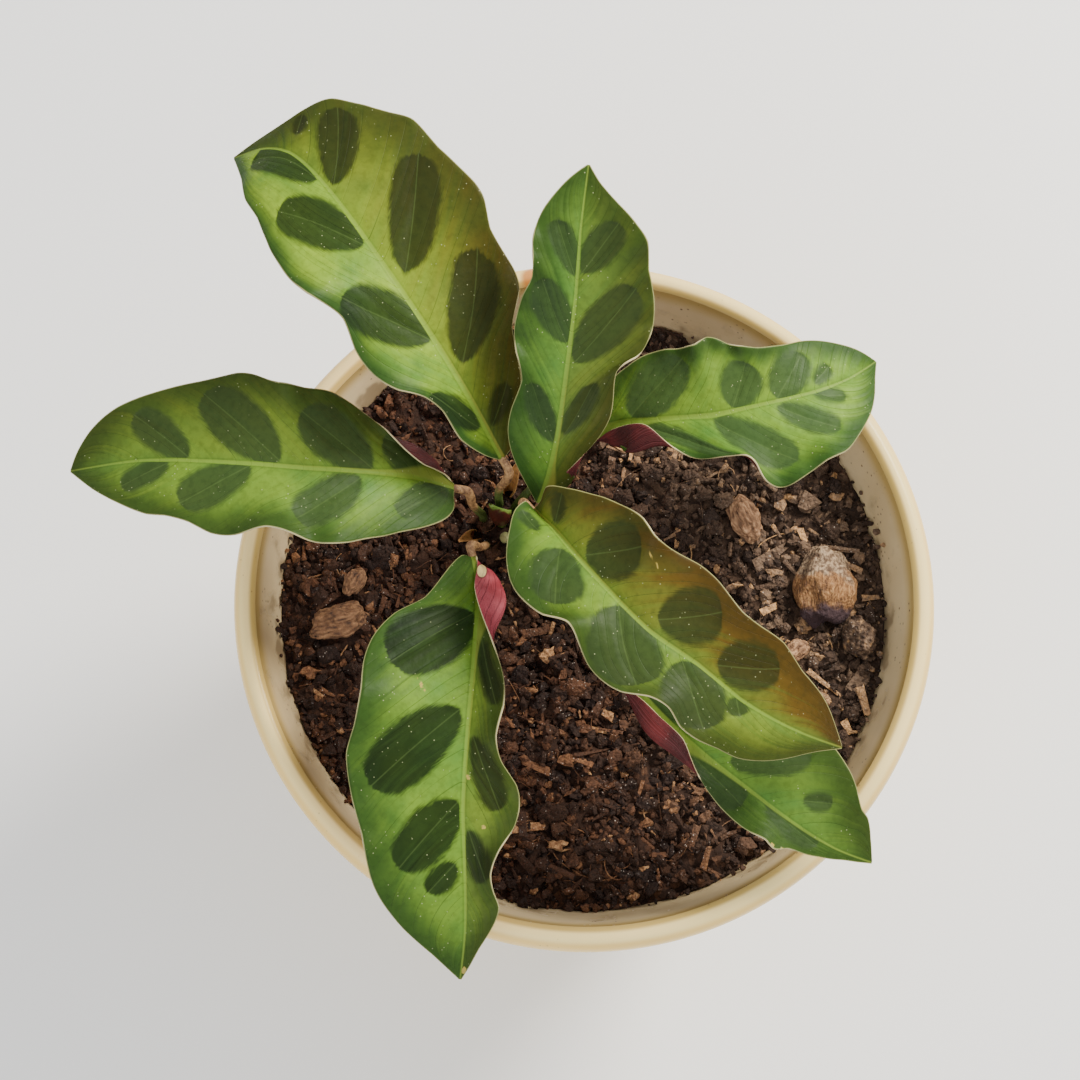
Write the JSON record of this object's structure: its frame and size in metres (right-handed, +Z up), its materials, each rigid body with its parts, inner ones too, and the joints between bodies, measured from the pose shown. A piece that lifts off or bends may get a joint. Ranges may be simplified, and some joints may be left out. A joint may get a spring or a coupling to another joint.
{
  "type": "potted calathea",
  "caption": "Young calathea with waved, dark-blotched leaves, purple underneath, growing from potting mix in a round glazed pot with a rolled rim.",
  "frame": {"origin": "middle of the pot's flat base, on the surface that it stands on", "axes": "+Z up along the pot's axis; the longest leaf points along -X and the highest leaf along +Y"},
  "size_m": [0.2426, 0.2325, 0.2254],
  "materials": {
    "pot_glaze": "gloss",
    "potting_mix": "matte",
    "leaf_blade": "satin",
    "leaf_stalk": "satin",
    "young_leaf": "satin",
    "pale_bud": "satin",
    "dry_sheath": "matte",
    "husk": "matte",
    "clod": "matte",
    "bark": "matte"
  },
  "bodies": {
    "root": {"pot": "pot_glaze", "soil": "potting_mix", "leaf_a_blade": "leaf_blade", "leaf_b_blade": "leaf_blade", "leaf_c_blade": "leaf_blade", "leaf_d_blade": "leaf_blade", "leaf_e_blade": "leaf_blade", "leaf_f_blade": "leaf_blade", "leaf_g_blade": "leaf_blade", "leaf_a_stalk": "leaf_stalk", "leaf_b_stalk": "leaf_stalk", "leaf_c_stalk": "leaf_stalk", "leaf_d_stalk": "leaf_stalk", "leaf_e_stalk": "leaf_stalk", "leaf_f_stalk": "leaf_stalk", "leaf_g_stalk": "leaf_stalk", "new_leaf": "young_leaf", "bud": "pale_bud", "dry_sheath_long": "dry_sheath", "dry_sheath_short": "dry_sheath", "husk_chunk": "husk", "soil_clod": "clod", "bark_chip_left": "bark", "bark_chip_left_small": "bark", "bark_chip_right": "bark", "bark_chip_front": "bark"}
  },
  "joints": []
}
